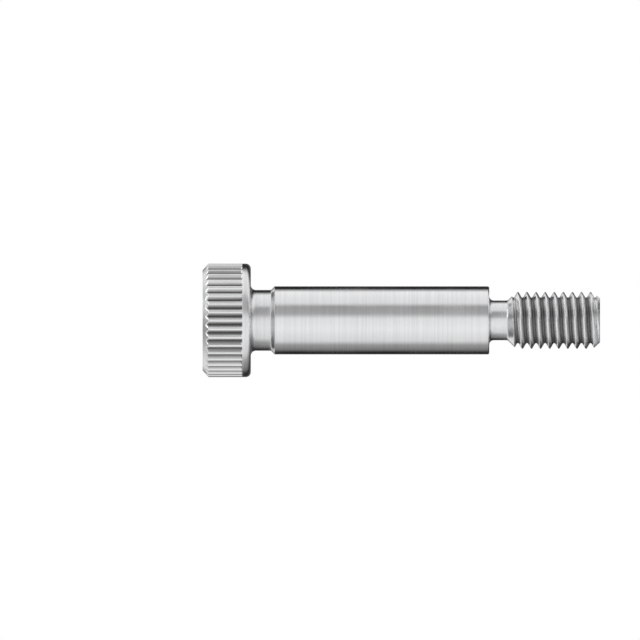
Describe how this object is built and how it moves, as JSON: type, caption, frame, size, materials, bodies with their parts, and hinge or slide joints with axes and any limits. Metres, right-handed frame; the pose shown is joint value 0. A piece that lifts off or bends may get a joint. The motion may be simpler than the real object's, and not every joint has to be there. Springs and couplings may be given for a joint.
{
  "type": "shoulder bolt",
  "caption": "Shoulder bolt with a knurled round head, a hexagon socket, a ground shoulder with a relief groove at each end, and a threaded end.",
  "frame": {"origin": "centre of the flat end of the thread, which the bolt stands on", "axes": "+Z along the bolt from the thread's end to the head, +X through two opposite corners of the hexagon socket"},
  "size_m": [0.01, 0.01, 0.035],
  "materials": {
    "steel": "turned and ground bright steel"
  },
  "bodies": {
    "root": {"shoulder_bolt": "steel"}
  },
  "joints": []
}
